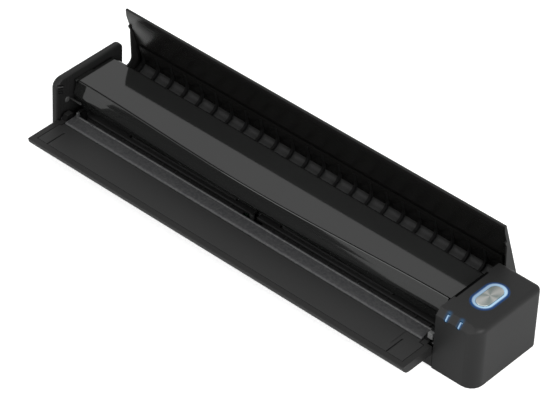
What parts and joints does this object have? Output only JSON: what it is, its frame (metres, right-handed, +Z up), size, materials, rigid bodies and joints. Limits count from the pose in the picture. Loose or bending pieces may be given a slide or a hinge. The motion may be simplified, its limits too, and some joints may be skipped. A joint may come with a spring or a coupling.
{
  "type": "sheet-fed scanner",
  "caption": "Slim portable sheet-fed document scanner with a fold-down feeding guide, a fold-up output guide, a hinged top cover and a lit scan button.",
  "frame": {"origin": "centre of the open part's bounding box at the surface that the feet stand on", "axes": "+X along the body towards the control block, +Y from the feeding guide to the output guide, +Z up"},
  "size_m": [0.273, 0.0829, 0.0566],
  "materials": {
    "satin_black": "fine satin moulded black plastic",
    "gloss_black": "polished black plastic",
    "inner_black": "plain moulded black plastic",
    "ramp_grey": "dark grey satin plastic",
    "rubber": "matt black rubber",
    "steel": "plain bright steel",
    "brass": "machined brass",
    "nylon": "natural nylon",
    "glass": "clear glass",
    "board_green": "green circuit board",
    "cell_blue": "blue shrink sleeve",
    "light_blue": "lit translucent light guide",
    "brushed_silver": "brushed silver cap",
    "white": "matt white plastic"
  },
  "bodies": {
    "scanner_body": {"battery_pack": "cell_blue", "block_screw_front": "steel", "block_screw_rear": "steel", "bottom_case": "satin_black", "button_board": "board_green", "button_light_ring": "light_blue", "connector_board": "board_green", "control_housing": "satin_black", "cover_hinge_pin_left": "steel", "cover_hinge_pin_right": "steel", "drive_motor": "steel", "entry_ramp": "ramp_grey", "feeding_hinge_pin_left": "steel", "feeding_hinge_pin_right": "steel", "foot_front_left": "rubber", "foot_front_right": "rubber", "foot_rear_left": "rubber", "foot_rear_right": "rubber", "gear_frame": "steel", "left_end_cap": "satin_black", "lower_guide": "inner_black", "main_board": "board_green", "output_hinge_pin_left": "steel", "output_hinge_pin_right": "steel", "ramp_screw_left": "steel", "ramp_screw_right": "steel", "shaft_bearing_left": "nylon", "shaft_bearing_right": "nylon", "status_light_left": "light_blue", "status_light_right": "light_blue", "usb_socket": "steel", "white_backing_strip": "white"},
    "feeding_guide": {"feeding_guide_outer": "satin_black", "feeding_guide_plate": "satin_black"},
    "output_guide": {"output_guide_outer": "satin_black", "output_guide_inner": "inner_black"},
    "top_cover": {"top_panel": "gloss_black", "front_fascia": "gloss_black", "upper_frame": "inner_black", "image_sensor_bar": "inner_black", "sensor_glass": "glass", "sensor_spring": "steel"},
    "feed_roller": {"feed_shaft": "steel", "feed_gear": "nylon", "feed_roller_left": "rubber", "feed_roller_right": "rubber"},
    "eject_roller": {"eject_shaft": "steel", "eject_gear": "nylon", "eject_roller_left": "rubber", "eject_roller_right": "rubber"},
    "idler": {"idler_gear": "nylon"},
    "motor_rotor": {"motor_pinion": "brass"},
    "feed_pinch": {"feed_pinch_roller": "nylon"},
    "eject_pinch": {"eject_pinch_roller": "nylon"},
    "scan_button": {"scan_button": "brushed_silver"},
    "wireless_switch": {"wireless_switch": "inner_black"},
    "setup_button": {"setup_button": "inner_black"},
    "paper_sensor": {"paper_sensor_flag": "inner_black"}
  },
  "joints": [
    {"name": "feeding_guide_hinge", "type": "hinge", "parent": "scanner_body", "child": "feeding_guide", "pos_m": [0, -0.01743, 0.012], "axis": [-1, 0, 0], "range_deg": [0, 90]},
    {"name": "output_guide_hinge", "type": "hinge", "parent": "scanner_body", "child": "output_guide", "pos_m": [0, 0.02062, 0.016], "axis": [1, 0, 0], "range_deg": [0, 71.6]},
    {"name": "top_cover_hinge", "type": "hinge", "parent": "scanner_body", "child": "top_cover", "pos_m": [0, 0.01527, 0.0205], "axis": [1, 0, 0], "range_deg": [-35, 0]},
    {"name": "feed_roller_spin", "type": "hinge", "parent": "scanner_body", "child": "feed_roller", "pos_m": [0, -0.00353, 0.0112], "axis": [1, 0, 0], "continuous": true},
    {"name": "eject_roller_spin", "type": "hinge", "parent": "scanner_body", "child": "eject_roller", "pos_m": [0, 0.01237, 0.0112], "axis": [1, 0, 0], "continuous": true},
    {"name": "idler_spin", "type": "hinge", "parent": "scanner_body", "child": "idler", "pos_m": [0.1157, 0.00442, 0.01542], "axis": [1, 0, 0], "continuous": true},
    {"name": "motor_spin", "type": "hinge", "parent": "scanner_body", "child": "motor_rotor", "pos_m": [0.1157, 0.00442, 0.02092], "axis": [1, 0, 0], "continuous": true},
    {"name": "feed_pinch_spin", "type": "hinge", "parent": "top_cover", "child": "feed_pinch", "pos_m": [0, -0.00353, 0.0173], "axis": [1, 0, 0], "continuous": true},
    {"name": "eject_pinch_spin", "type": "hinge", "parent": "top_cover", "child": "eject_pinch", "pos_m": [0, 0.01237, 0.0173], "axis": [1, 0, 0], "continuous": true},
    {"name": "scan_button_press", "type": "slide", "parent": "scanner_body", "child": "scan_button", "axis": [0, 0, -1], "range_m": [0, 0.0004], "stiffness_N_per_m": 400, "springref_m": -0.0003},
    {"name": "wireless_switch_slide", "type": "slide", "parent": "scanner_body", "child": "wireless_switch", "axis": [-1, 0, 0], "range_m": [0, 0.0025]},
    {"name": "setup_button_press", "type": "slide", "parent": "scanner_body", "child": "setup_button", "axis": [0, -1, 0], "range_m": [0, 0.0004], "stiffness_N_per_m": 200, "springref_m": -0.0003},
    {"name": "paper_sensor_swing", "type": "hinge", "parent": "scanner_body", "child": "paper_sensor", "pos_m": [-0.0105, -0.01083, 0.0099], "axis": [-1, 0, 0], "range_deg": [0, 40], "stiffness_Nm_per_rad": 0.0004, "springref_deg": -11.46}
  ],
  "couplings": [
    {"joint": "eject_roller_spin", "follows": "feed_roller_spin", "ratio": 1},
    {"joint": "idler_spin", "follows": "feed_roller_spin", "ratio": -2},
    {"joint": "motor_spin", "follows": "feed_roller_spin", "ratio": 2.4}
  ]
}
